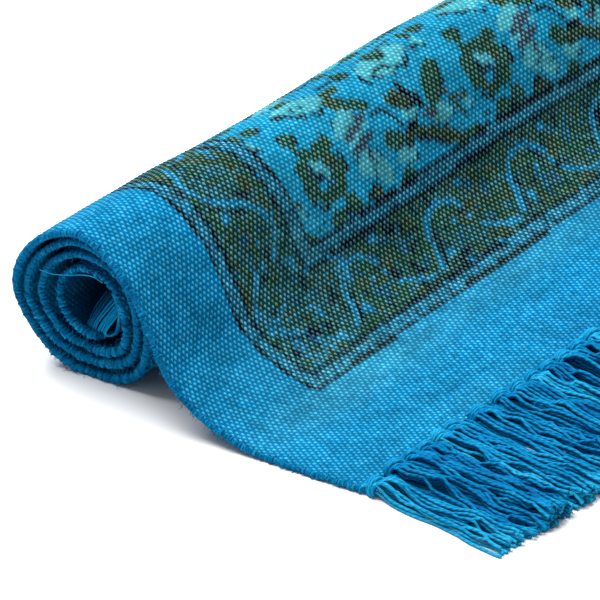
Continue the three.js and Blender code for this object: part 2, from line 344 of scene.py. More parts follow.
def print_field(ink, x, y, inside):
    """One row of motifs. x runs from a rosette's middle, y from the border's inner line."""
    x = (x + MOTIF_BEFORE) % MOTIF_PITCH - MOTIF_BEFORE
    for shift in (0, MOTIF_PITCH):
        xs = x - shift
        for name, cx, cy, half_long, half_wide, tilt in PALE_LEAVES:
            rim = in_blob(xs, y, cx, cy, half_long + PALE_RIM[0], half_wide + PALE_RIM[1], tilt)
            broken = np.sin(xs * 0.31 + y * 0.23 + cx) > -0.2
            ink[inside & rim & broken] = INK["speck"]
            ink[inside & in_blob(xs, y, cx, cy, half_long, half_wide, tilt)] = INK[name]
        out_x, out_y = xs - RING_MIDDLE[0], y - RING_MIDDLE[1]
        lobes = 1 + 0.075 * np.cos(RING_LOBES * np.arctan2(out_y, out_x) + 0.6)
        reach = np.hypot(out_x / RING_SIZE[0], out_y / RING_SIZE[1]) / lobes
        ring = inside & (reach <= 1)
        ink[ring] = INK["green"]
        upper_right = (xs > 3) & (y > 38) & (reach > 0.42) & (reach < 0.8)
        ink[ring & upper_right] = INK["olive"]
        for name, *oval in RING_SPOTS:
            ink[inside & in_blob(xs, y, *oval)] = INK[name]
        ink[inside & near_stroke(xs, y, RING_STROKE, 3)] = INK["line"]
        for name, cx, cy, *oval in DARK_LEAVES:
            if oval[1] > SHADED_WIDTH and cy > SHADED_ABOVE:
                shade = in_blob(xs, y, cx + SHADE_SHIFT[0], cy + SHADE_SHIFT[1], *oval)
                ink[inside & shade] = INK["line"]
            ink[inside & in_blob(xs, y, cx, cy, *oval)] = INK[name]
        for name, width, points in FIELD_STROKES:
            ink[inside & near_stroke(xs, y, points, width)] = INK[name]


def print_ink(across, along):
    """Number of the ink at each place of the face."""
    length = cloth_course.length
    warp, pick = np.round(across / WARP_PITCH), np.round(along / PICK_PITCH)
    lot = np.random.default_rng(11).random((1024, 1024))
    crown = ((warp + pick) // 2).astype(int) % 1024, ((warp - pick) // 2).astype(int) % 1024
    # two chances of each crown
    chance, second = lot[crown], lot[crown[1], crown[0]]
    straight_x = across + np.interp(along, *zip(*DRIFT_ACROSS))
    askew = np.interp(along, *zip(*ASKEW))
    straight_y = along - np.interp(across, *zip(*DRIFT_ALONG)) * askew
    x = straight_x + DAB_SHIFT[0] * (chance - 0.5)
    y = straight_y + DAB_SHIFT[1] * (second - 0.5)
    wander = EDGE_SHIFT * (patches(along, along * 0, 60, 8) - 0.5)

    def depths(x, y):
        side = np.minimum(x + wander, CLOTH_WIDTH - x)
        return side, np.interp(np.minimum(y, length - y), END_DEPTH, SIDE_DEPTH)

    def inside(part):
        return (depth > part[0]) & (depth < part[1])

    depth_side, depth_end = depths(x, y)
    depth = np.minimum(depth_side, depth_end)
    on_side = depth_side < depth_end
    ink = np.full(across.shape, INK["bare"])

    # Field: rows of the same motifs, each row the mirror of the one before
    field = depth > FIELD_DEPTH
    ink[field] = INK["field"]
    row_height = (length - 2 * FIELD_START) / FIELD_ROWS
    up = (y - FIELD_START) / row_height
    row = np.floor(up)
    folded = np.where(row % 2 == 0, up - row, 1 - up + row) * row_height
    squeezed = np.where(x < SQUEEZE_FROM, x, SQUEEZE_FROM + (x - SQUEEZE_FROM) * SQUEEZE)
    print_field(ink, squeezed - FIRST_ROSETTE, folded, field)

    # Border band: green ground with worn and mixed dabs, the vine, and paler corners
    band = inside(BAND)
    worn = patches(x, y, 11, 21) * 0.55 + patches(x, y, 4.3, 22) * 0.45
    ink[band] = INK["green"]
    ink[band & (worn > 0.66)] = INK["olive"]
    ink[band & (worn < 0.33)] = INK["line"]
    ink[band & (second > np.where(on_side, 0.76, 0.86))] = INK["teal"]
    ink[band & (second > 0.94)] = INK["speck"]
    run_side = VINE_FROM_END + np.where(x < CLOTH_WIDTH / 2, -y, y - length)
    run_end = np.where(y < length / 2, x - VINE_FROM_SIDE, CLOTH_WIDTH - VINE_FROM_SIDE - x)
    share = (depth - BAND[0]) / (BAND[1] - BAND[0])
    print_vine(ink, np.where(on_side, run_side, run_end), share, band)
    corner = band & (np.abs(depth_side - depth_end) < CORNER) & (chance > 0.5)
    ink[corner & (worn > 0.42)] = INK["teal"]
    ink[corner & (worn > 0.68)] = INK["vine"]

    # The two narrow strips, and the lines along them, which follow single rows of crowns
    outer, inner = inside(OUTER_STRIP), inside(INNER_STRIP)
    ink[outer | inner] = INK["strip"]
    ink[outer & (chance > 0.78)] = INK["vine"]
    ink[(outer | inner) & (second > np.where(outer, 0.66, 0.84))] = INK["speck"]
    even_side, even_end = depths(straight_x, straight_y)
    even = np.minimum(even_side, even_end)
    for middle, side_width, end_width in LINES:
        width = np.where(even_side < even_end, side_width, end_width)
        ink[(np.abs(even - middle) < width / 2) & (chance > 0.04)] = INK["line"]

    # Worn places, where the print is gone from a crown here and there
    ink[(second > 0.975) & (ink != INK["bare"]) & (ink != INK["field"])] = INK["speck"]
    return ink


# Soft places where the dye has faded or run deep, and one pale place on the roll's crest that is a
# painted sheen: across, along, their reach, how faded
SOFT_SPOTS = [
    (120, 88, 100, 20, 0.65), (340, 93, 130, 15, 0.45), (500, 98, 70, 15, 0.40),
    (70, 135, 45, 30, 0.16), (330, 18, 110, 28, -0.16), (246, 2, 26, 12, -0.25),
    (20, 205, 34, 40, -0.10), (160, 10, 60, 16, 0.16), (165, 185, 45, 28, 0.30),
    # the place at 520 across and 300 along lies on the roll's crest: its paling is a painted sheen of the
    # light grazing the top
    (135, 116, 26, 12, 0.30), (480, 190, 60, 14, 0.16), (520, 300, 90, 22, 0.50),
    (150, 202, 28, 18, 0.35), (555, 200, 60, 20, 0.30), (460, 180, 30, 14, 0.30),
]


def fading_and_sheen(across, along):
    """How far each place is faded or painted with sheen (above 0), or deepened (below 0)."""
    fade_and_sheen = 0
    for x, y, reach_x, reach_y, strength in SOFT_SPOTS:
        fade_and_sheen = fade_and_sheen + strength * np.exp(-((across - x) / reach_x) ** 2 - ((along - y) / reach_y) ** 2)
    return fade_and_sheen


def linear(colour):
    """Light values of a colour from 0 to 255."""
    c = np.asarray(colour, float) / 255
    return np.where(c <= 0.04045, c / 12.92, ((c + 0.055) / 1.055) ** 2.4)


class Kit:
    """Puts down and joins the nodes of a material or of a Geometry Nodes tree."""

    def __init__(self, tree):
        self.tree = tree

    def feed(self, socket, value):
        if isinstance(value, bpy.types.NodeSocket):
            self.tree.links.new(value, socket)
        else:
            socket.default_value = value

    def put(self, kind, inputs=(), **settings):
        """A node with its settings and its inputs, which go by the socket's name or number."""
        node = self.tree.nodes.new(kind)
        for name, value in settings.items():
            setattr(node, name, value)
        for key, value in dict(inputs).items():
            self.feed(node.inputs[key], value)
        return node

    def maths(self, operation, *inputs, clamp=False):
        node = self.put(
            "ShaderNodeMath", enumerate(inputs), operation=operation, use_clamp=clamp
        )
        return node.outputs[0]

    def noise(self, vector, scale, detail=2.0, rough=0.5):
        inputs = {"Vector": vector, "Scale": scale, "Detail": detail, "Roughness": rough}
        return self.put("ShaderNodeTexNoise", inputs).outputs["Fac"]

    def blend(self, kind, share, a, b):
        node = self.put("ShaderNodeMix", data_type="RGBA", blend_type=kind, clamp_factor=True)
        for name, value in (("Factor", share), ("A", a), ("B", b)):
            socket = next(s for s in node.inputs if s.name == name and s.enabled)
            self.feed(socket, (*value, 1) if isinstance(value, tuple) else value)
        return next(s for s in node.outputs if s.enabled)

    def dress(self, shader, colour, roughness, shine, height, bump, depth):
        """Colour, gloss and relief of a material's shader."""
        inputs = {"Height": height, "Strength": bump, "Distance": depth}
        relief = self.put("ShaderNodeBump", inputs).outputs[0]
        names = ("Base Color", "Roughness", "Specular IOR Level", "Normal")
        for name, value in zip(names, (colour, roughness, shine, relief)):
            self.feed(shader.inputs[name], value)


def new_material(name):
    material = bpy.data.materials.new(name)
    material.use_nodes = True
    tree = material.node_tree
    return material, Kit(tree), tree.nodes["Principled BSDF"]


# Sizes in warps and picks: half sizes of a crown and of the weft between two crowns
CROWN_OVAL, WEFT_OVAL = (0.50, 0.54), (0.9, 0.42)
RUBBED_TIPS = (0.18, 0.50, 0.54)


def cloth_material():
    """Dyed and printed plain weave: oval warp crowns over darker weft, fibre and wear."""
    material, kit, shader = new_material("kilim_weave")
    put, maths, noise = kit.put, kit.maths, kit.noise

    def oval(u, v, half):
        u, v = maths("DIVIDE", u, half[0]), maths("DIVIDE", v, half[1])
        return maths("ADD", maths("MULTIPLY", u, u), maths("MULTIPLY", v, v))

    def stretched(scale):
        return put("ShaderNodeMapping", {"Vector": weave, "Scale": scale}).outputs[0]

    def ranged(value, *limits):
        return put("ShaderNodeMapRange", enumerate((value, *limits))).outputs[0]

    weave = put("ShaderNodeUVMap", uv_map="weave").outputs[0]
    warp, pick, _ = put("ShaderNodeSeparateXYZ", {0: weave}).outputs
    p = maths("MULTIPLY", maths("ADD", warp, pick), 0.5)
    q = maths("MULTIPLY", maths("SUBTRACT", warp, pick), 0.5)
    p_crown, q_crown = maths("ROUND", p), maths("ROUND", q)
    dp, dq = maths("SUBTRACT", p, p_crown), maths("SUBTRACT", q, q_crown)

    # each crown has its own size, place and tone
    crown_id = put("ShaderNodeCombineXYZ", {0: p_crown, 1: q_crown}).outputs[0]
    chance = put("ShaderNodeTexWhiteNoise", {"Vector": crown_id}, noise_dimensions="3D").outputs
    any_size = maths("MULTIPLY_ADD", chance["Value"], 0.40, 0.78)
    nudge_u, nudge_v, own_tone = put("ShaderNodeSeparateXYZ", {0: chance["Color"]}).outputs
    du = maths("ADD", maths("ADD", dp, dq), maths("MULTIPLY_ADD", nudge_u, 0.20, -0.10))
    dv = maths("ADD", maths("SUBTRACT", dp, dq), maths("MULTIPLY_ADD", nudge_v, 0.24, -0.12))
    reach = maths("DIVIDE", oval(du, dv, CROWN_OVAL), any_size)
    dome = maths("SUBTRACT", 1.0, reach, clamp=True)
    crown_mask = maths("SMOOTH_MIN", maths("MULTIPLY", dome, 1.4), 1.0, 0.3)

    # weft floats between the crowns, rounded the other way
    side = maths("SUBTRACT", 1.0, maths("ABSOLUTE", du))
    weft = maths("SUBTRACT", 1.0, oval(side, dv, WEFT_OVAL), clamp=True)

    # yarn fibres, finer than the crowns and drawn out along the warp, and clouds in the dye
    fibre = noise(stretched((3.6, 1.1, 1)), 2.4, 3.0, 0.6)
    streak = noise(stretched((0.05, 1, 1)), 0.9, 1.0)
    metric = stretched((WARP_PITCH, PICK_PITCH, 1))
    cloud = noise(metric, 0.016, 3.0, 0.55)
    patch = noise(metric, 0.075, 2.0, 0.6)

    # dye that took unevenly: deeper and paler by this much over clouds, patches, crowns, streaks
    # and fibres
    shade = None
    for value, low, high, part in (
        (cloud, 0.3, 0.7, 0.20), (patch, 0.3, 0.7, 0.12), (own_tone, 0, 1, 0.16),
        (streak, 0.3, 0.7, 0.10), (fibre, 0.25, 0.75, 0.14),
    ):
        tone = ranged(value, low, high, 1 - part, 1 + part)
        shade = tone if shade is None else maths("MULTIPLY", shade, tone)
    gray = put("ShaderNodeCombineXYZ", {0: shade, 1: shade, 2: shade}).outputs[0]
    ground = put("ShaderNodeAttribute", attribute_name="between").outputs["Color"]
    crown = put("ShaderNodeAttribute", attribute_name="crown").outputs["Color"]
    colour = kit.blend("MIX", crown_mask, ground, crown)
    colour = kit.blend("MULTIPLY", 1.0, colour, gray)
    rubbed = maths("MULTIPLY", ranged(patch, 0.46, 0.75, 0.0, 0.14), crown_mask)
    colour = kit.blend("MIX", rubbed, colour, RUBBED_TIPS)

    height = maths("POWER", dome, 0.55)
    height = maths("ADD", height, maths("MULTIPLY", maths("POWER", weft, 0.6), 0.34))
    height = maths("ADD", height, maths("MULTIPLY", fibre, 0.35))
    kit.dress(shader, colour, 0.82, 0.02, height, 0.65, 0.0011)
    return material


def mesh_object(name, points, faces, material):
    """Closed mesh from points in millimetres of the part's own frame."""
    mesh = bpy.data.meshes.new(name)
    mesh.from_pydata(((points - PART_ORIGIN) * MM).tolist(), [], faces)
    mesh.validate()
    mesh.update()
    mesh.materials.append(material)
    mesh.polygons.foreach_set("use_smooth", np.ones(len(mesh.polygons), bool))
    piece = bpy.data.objects.new(name, mesh)
    bpy.context.collection.objects.link(piece)
    return piece


# The woven cloth itself: warp crowns and weft hollows are real relief on its face, and on both
# faces near the two edges, where one looks into the roll. Inside the roll the mesh is coarse.

# columns of points: those near each edge, and the coarse ones between them
EDGE_COLUMNS, MIDDLE_COLUMNS = 22, 8
# picks whose face shows
FACE_PICKS = 146
# places on the round of the section: steps round an edge, where the back ends, the whole round
WRAP = 5
BACK_END = 2 * WARPS + WRAP
LOOP = 2 * (WARPS + WRAP)
# points round an edge: how far out, how far up
WRAP_SHAPE = [(0.5, 1.955), (0.9, 0.69), (0.9, -0.69), (0.5, -1.955)]
CROWN_LIFT, HOLLOW_DROP, UNEVEN_YARN, FACE_SINK = 0.22, 0.42, 0.10, 0.2
SELVEDGE_WARPS, SELVEDGE_DROP = 1, 0.3


def lay_picks():
    """Points round the cloth's section at each pick, and their numbers by place on that round."""
    fine = np.arange(WARPS + 1)
    coarse = np.round(np.linspace(EDGE_COLUMNS, WARPS - EDGE_COLUMNS, MIDDLE_COLUMNS + 1))
    sparse = np.concatenate([fine[:EDGE_COLUMNS + 1], coarse, fine[-EDGE_COLUMNS - 1:]])
    sparse = np.unique(sparse).astype(int)
    back = sparse[::-1]
    steps = 1 + np.arange(WRAP - 1)
    random = np.random.default_rng(5)

    def sheet(columns, pick, top):
        crown = (columns + pick) % 2 == (0 if top else 1)
        relief = np.where(crown, CROWN_LIFT, -HOLLOW_DROP)
        relief = relief + UNEVEN_YARN * (random.random(len(columns)) - 0.5)
        edge = np.minimum(columns, WARPS - columns)
        relief = relief - SELVEDGE_DROP * (edge < SELVEDGE_WARPS)
        lift = (1 if top else -1) * (HALF_CLOTH - FACE_SINK + relief)
        return cloth_place(columns * WARP_PITCH, np.full(len(columns), pick * PICK_PITCH), lift)

    def wrap(edge, pick):
        bulge = 0.5 * random.random()
        out, lift = np.array(WRAP_SHAPE if edge else WRAP_SHAPE[::-1]).T
        across = CLOTH_WIDTH + (out + bulge) if edge else -(out + bulge)
        return cloth_place(across, np.full(len(out), pick * PICK_PITCH), lift)

    points, rows, first = [], [], 0
    for pick in range(PICKS + 1):
        face = fine if pick <= FACE_PICKS else sparse
        points += [sheet(face, pick, True), wrap(1, pick), sheet(back, pick, False), wrap(0, pick)]
        places = np.concatenate([face, WARPS + steps, BACK_END - back, BACK_END + steps])
        rows.append({place: first + i for i, place in enumerate(places.tolist())})
        first += len(places)
    points = np.vstack(points)
    points[:, 2] = np.maximum(points[:, 2], 0.0)
    return points, rows


def between_picks(row, following, pick):
    """Faces from one pick to the next, whose points are the same or fewer. A corner is a point's
    number and its place in the weave."""
    places = list(following)
    for u0, u1 in zip(places, places[1:] + [LOOP]):
        tip0, tip1 = (following[u0], u0, pick + 1), (following[u1 % LOOP], u1, pick + 1)
        base = [(row[u % LOOP], u, pick) for u in range(u0, u1 + 1) if u % LOOP in row]
        if len(base) == 2:
            yield *base, tip1, tip0
            continue
        middle = len(base) // 2
        for k, (corner0, corner1) in enumerate(zip(base, base[1:])):
            yield corner0, corner1, tip0 if k < middle else tip1
        yield base[middle], tip1, tip0


def across_end(row, pick):
    """Faces that close a woven end between face and back, and then round its two edges."""
    backs = sorted(BACK_END - u for u in row if WARPS + WRAP <= u <= BACK_END)
    for c0, c1 in zip(backs, backs[1:]):
        low0, low1 = (row[BACK_END - c0], c0, pick), (row[BACK_END - c1], c1, pick)
        tops = [(row[c], c, pick) for c in range(c0, c1 + 1) if c in row]
        middle = len(tops) // 2 if len(tops) > 2 else 0
        for k, (top0, top1) in enumerate(zip(tops, tops[1:])):
            yield top0, low0 if k < middle else low1, top1
        yield tops[middle], low0, low1
    for start, c in ((WARPS, WARPS), (BACK_END, 0)):
        rim = [(row[(start + k) % LOOP], c, pick) for k in range(WRAP + 1)]
        for k in range(1, WRAP):
            yield rim[0], rim[k + 1], rim[k]


points_mm, rows = lay_picks()
faces = [
    face for pick in range(PICKS) for face in between_picks(rows[pick], rows[pick + 1], pick)
]
faces += across_end(rows[0], 0)
faces += [face[::-1] for face in across_end(rows[PICKS], PICKS)]
numbers = [[number for number, _, _ in face] for face in faces]
kilim = mesh_object("kilim_cloth", points_mm, numbers, cloth_material())
weave_map = kilim.data.uv_layers.new(name="weave")
weave = np.array([corner[1:] for face in faces for corner in face], float)
weave_map.data.foreach_set("uv", weave.ravel())

# Inks of the mesh: the print on the face, the dyed back, darkened as painted shade, and a paler rim
# along the edges that show, which is painted light.
point_u = np.concatenate([list(row) for row in rows])
point_pick = np.repeat(np.arange(PICKS + 1), [len(row) for row in rows])
on_face = point_u <= WARPS
inks = np.full(len(point_u), INK["back"])
# painted light: the rim covers the edges of every turn but the innermost, which keeps the darker back
# colour as painted shade
LIT_RIM_STEPS, LIT_RIM_PICKS = 12, 300
away = np.abs(point_u[:, None] - (WARPS + WRAP / 2, LOOP - WRAP / 2))
from_edge = np.minimum(away, LOOP - away).min(axis=1)
inks[(from_edge < LIT_RIM_STEPS) & (point_pick < LIT_RIM_PICKS)] = INK["rim"]
across, along = point_u * WARP_PITCH, point_pick * PICK_PITCH
inks[on_face] = print_ink(across[on_face], along[on_face])

# Faded places, and the painted sheen on the roll's crest, turn towards a pale green blue, most of
# all on the inks that are pale already, and deeper places lose red before blue.
FADE_AND_SHEEN_COLOUR, FADE_AND_SHEEN_SHARE, ON_DARK_INKS = (88, 180, 178), 0.35, 0.3
DEEPENED = (1, 0.7, 0.4)
fade_and_sheen = np.where(on_face, fading_and_sheen(across, along), 0)
pale_inks = [INK[name] for name in ("bare", "field", "strip", "vine", "aqua")]
fade_and_sheen = (fade_and_sheen * np.where(np.isin(inks, pale_inks), 1, ON_DARK_INKS))[:, None]
for attribute, column, light in (("between", 1, 0.45), ("crown", 2, 0.95)):
    colours = np.array([linear(row[column]) for row in INKS])[inks]
    paler = colours + (linear(FADE_AND_SHEEN_COLOUR) * light - colours) * FADE_AND_SHEEN_SHARE * fade_and_sheen
    colours = np.where(fade_and_sheen > 0, paler, colours * (1 + fade_and_sheen * DEEPENED))
    values = np.concatenate([colours, np.ones((len(inks), 1))], axis=1)
    layer = kilim.data.color_attributes.new(attribute, "FLOAT_COLOR", "POINT")
    layer.data.foreach_set("color", values.ravel())
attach(kilim, "root")
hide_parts("rug")


# Fringe of the end on the floor. The warps run on past the woven end, are taken together about
# ten at a time and knotted against the cloth, and lie on the floor two or three yarns deep.
YARN = 2.4
YARN_TONES = [(0.12, (0, 74, 126)), (0.5, (0, 116, 166)), (0.85, (34, 156, 196))]
# length of one turn of the two plies and of the fine threads in them, in metres
PLY_TURN, THREAD_TURN = 0.0052, 0.0019
FRINGE_LENGTH = 124.0
FIRST_TASSELS = [5, 32, 48, 63, 81, 97, 124, 150, 167, 183, 200, 219, 236, 255]
TASSELS = 38
# lean of the tassels at places across the rug
LEAN = [(0, -0.09), (60, -0.10), (180, -0.06), (400, 0.02), (620, -0.03), (800, 0.05)]
# yarns of a tassel: by its share of the end, and those that lie under it
END_YARNS_PER_MM, FEWEST_YARNS, MOST_YARNS = 0.62, 12, 19
UNDER_YARNS, UNDER_SPREAD, END_SPREAD = 7, 1.7, 0.9
# places along a yarn, with the lowest and highest that it lies at its knot
LOW = [(-3, 2.4), (0, 3.0), (5, 4.4), (10, 4.2), (16, 2.4), (26, 1.0)]
HIGH = [(-3, 4.6), (1, 7.2), (9, 10.0), (18, 15)]
# the knots: strands, their distance and thickness, and the arc that each runs through
KNOT_STRANDS, KNOT_PITCH, KNOT_FAT, KNOT_ARC = 4, 2.5, 1.28, (-28, 200)
GRID = 0.7


def yarn_material():
    """Soft two-ply cotton yarn: twisted light and dark bands, dyed unevenly."""
    material, kit, shader = new_material("fringe_cotton")
    put, maths = kit.put, kit.maths
    twist = put("ShaderNodeAttribute", attribute_name="twist").outputs["Vector"]
    x, y, length = put("ShaderNodeSeparateXYZ", {0: twist}).outputs
    turn = maths("ARCTAN2", y, x)

    def twisted(strands, turn_length):
        run = maths("MULTIPLY", length, 2 * math.pi / turn_length)
        return maths("SINE", maths("ADD", maths("MULTIPLY", turn, strands), run))

    ply, thread = twisted(2.0, PLY_TURN), twisted(9.0, THREAD_TURN)
    tone = put("ShaderNodeAttribute", attribute_name="tone").outputs["Fac"]
    cloud = kit.noise(put("ShaderNodeTexCoord").outputs["Object"], 55, 3)
    share = maths("ADD", maths("MULTIPLY", tone, 0.55), maths("MULTIPLY", cloud, 0.45))
    share = maths("ADD", share, maths("MULTIPLY", ply, 0.10), clamp=True)
    ramp = put("ShaderNodeValToRGB", {0: share})
    stops = ramp.color_ramp.elements
    stops.new(YARN_TONES[1][0])
    for stop, (place, colour) in zip(stops, YARN_TONES):
        stop.position = place
        stop.color = (*linear(colour), 1)
    height = maths("ADD", maths("MULTIPLY", ply, 0.6), maths("MULTIPLY", thread, 0.22))
    kit.dress(shader, ramp.outputs["Color"], 0.75, 0.04, height, 0.6, 0.0005)
    return material


def yarn_tree(material):
    """Round closed yarns along the edges of a mesh of paths."""
    tree = bpy.data.node_groups.new("yarns_on_paths", "GeometryNodeTree")
    for name, way, kind, value in (
        ("Paths", "INPUT", "Geometry", None), ("Yarn thickness", "INPUT", "Float", YARN * MM),
        ("Sides", "INPUT", "Int", 6), ("Yarns", "OUTPUT", "Geometry", None),
    ):
        socket = tree.interface.new_socket(name, in_out=way, socket_type="NodeSocket" + kind)
        if value:
            socket.default_value = value
    kit = Kit(tree)
    put = kit.put

    def capture(geometry, kind, name, value):
        """A geometry that carries a value along, and that value."""
        node = put("GeometryNodeCaptureAttribute")
        node.capture_items.new(kind, name)
        kit.feed(node.inputs["Geometry"], geometry)
        kit.feed(node.inputs[name], value)
        return node.outputs["Geometry"], node.outputs[name]

    given = put("NodeGroupInput").outputs
    curve = put("GeometryNodeMeshToCurve", {"Mesh": given["Paths"]}).outputs["Curve"]
    run = put("GeometryNodeSplineParameter").outputs["Length"]
    curve, run = capture(curve, "FLOAT", "run", run)
    radius = kit.maths("MULTIPLY", given["Yarn thickness"], 0.5)
    circle = put(
        "GeometryNodeCurvePrimitiveCircle", {"Resolution": given["Sides"], "Radius": radius}
    )
    spot = put("GeometryNodeInputPosition").outputs["Position"]
    profile, spot = capture(circle.outputs["Curve"], "VECTOR", "spot", spot)
    fat = put("GeometryNodeInputNamedAttribute", {"Name": "fat"}).outputs["Attribute"]
    swept = put("GeometryNodeCurveToMesh", {
        "Curve": curve, "Profile Curve": profile, "Scale": fat, "Fill Caps": True,
    })
    x, y, _ = put("ShaderNodeSeparateXYZ", {0: spot}).outputs
    twist = put("ShaderNodeCombineXYZ", {0: x, 1: y, 2: run}).outputs[0]
    twisted = put("GeometryNodeStoreNamedAttribute", data_type="FLOAT_VECTOR", domain="POINT")
    for name, value in (("Geometry", swept.outputs["Mesh"]), ("Name", "twist"), ("Value", twist)):
        kit.feed(twisted.inputs[name], value)
    smooth = put("GeometryNodeSetShadeSmooth", {"Geometry": twisted.outputs["Geometry"]})
    dyed = put("GeometryNodeSetMaterial", {
        "Geometry": smooth.outputs["Geometry"], "Material": material,
    })
    made = put("GeometryNodeRealizeInstances", {"Geometry": dyed.outputs["Geometry"]})
    put("NodeGroupOutput", {"Yarns": made.outputs["Geometry"]})
    return tree


def spin(name, paths, tree, sides=6):
    """One mesh of yarns. Each path is its points in millimetres, its tone and its fatness."""
    points, edges, tones, fats = [], [], [], []
    for line, tone, fat in paths:
        first = len(points)
        points.extend(((np.asarray(line) - PART_ORIGIN) * MM).tolist())
        edges.extend((i, i + 1) for i in range(first, len(points) - 1))
        tones.extend(np.broadcast_to(tone, len(line)).tolist())
        fats.extend(np.broadcast_to(fat, len(line)).tolist())
    mesh = bpy.data.meshes.new(name)
    mesh.from_pydata(points, edges, [])
    mesh.attributes.new("tone", "FLOAT", "POINT").data.foreach_set("value", tones)
    mesh.attributes.new("fat", "FLOAT", "POINT").data.foreach_set("value", fats)
    piece = bpy.data.objects.new(name, mesh)
    bpy.context.collection.objects.link(piece)
    modifier = piece.modifiers.new("yarns", "NODES")
    modifier.node_group = tree
    for item in tree.interface.items_tree:
        if item.in_out == "INPUT" and item.name in ("Yarn thickness", "Sides"):
            modifier[item.identifier] = sides if item.name == "Sides" else YARN * MM
    graph = bpy.context.evaluated_depsgraph_get()
    made = bpy.data.meshes.new_from_object(
        piece.evaluated_get(graph), preserve_all_data_layers=True, depsgraph=graph
    )
    piece.modifiers.remove(modifier)
    piece.data = made
    made.name = name
    return piece


def woven_end(across):
    """Place along the rug where the weave ends, a little wavy across it."""
    return -FLAT_LENGTH + wave(across, END_WAVE, END_WAVE_LENGTH)


class Heap:
    """Height of what already lies on the floor, on a fine grid, as yarns are laid on it."""

    def __init__(self, low, high):
        self.low = np.array(low, float)
        size = np.ceil((np.array(high) - self.low) / GRID).astype(int) + 1
        self.height = np.zeros(size)

    def cells(self, x, y, reach):
        """Cells of the grid round some places, and how far each lies from its place."""
        x, y = x[:, None, None], y[:, None, None]
        span = int(math.ceil(reach / GRID))
        shift = np.arange(-span, span + 1)
        dx, dy = np.meshgrid(shift, shift, indexing="ij")
        ix = np.round((x - self.low[0]) / GRID).astype(int) + dx
        iy = np.round((y - self.low[1]) / GRID).astype(int) + dy
        ix = np.clip(ix, 0, self.height.shape[0] - 1)
        iy = np.clip(iy, 0, self.height.shape[1] - 1)
        return ix, iy, np.hypot(ix * GRID + self.low[0] - x, iy * GRID + self.low[1] - y)

    def lay(self, line, radius, drape=5):
        """Heights of a yarn's middle along a dense line, and the heap with the yarn on it."""
        ix, iy, away = self.cells(line[:, 0], line[:, 1], radius)
        near = away <= radius
        arch = np.sqrt(np.clip(radius ** 2 - away ** 2, 0, None))
        rest = np.where(near, np.where(near, self.height[ix, iy], 0) - (radius - arch) * 0.6, 0)
        rest = np.maximum(np.max(rest, axis=(1, 2)) + radius, line[:, 2])

        def eased(z, times):
            for _ in range(times):
                z = np.convolve(np.pad(z, 1, mode="edge"), (0.25, 0.5, 0.25), mode="valid")
            return z

        z = rest
        for _ in range(drape):
            z = np.maximum(eased(z, 6), rest)
        z = np.maximum(eased(z, 2), radius)
        np.maximum.at(self.height, (ix, iy), np.where(near, z[:, None, None] + arch, 0))
        return z


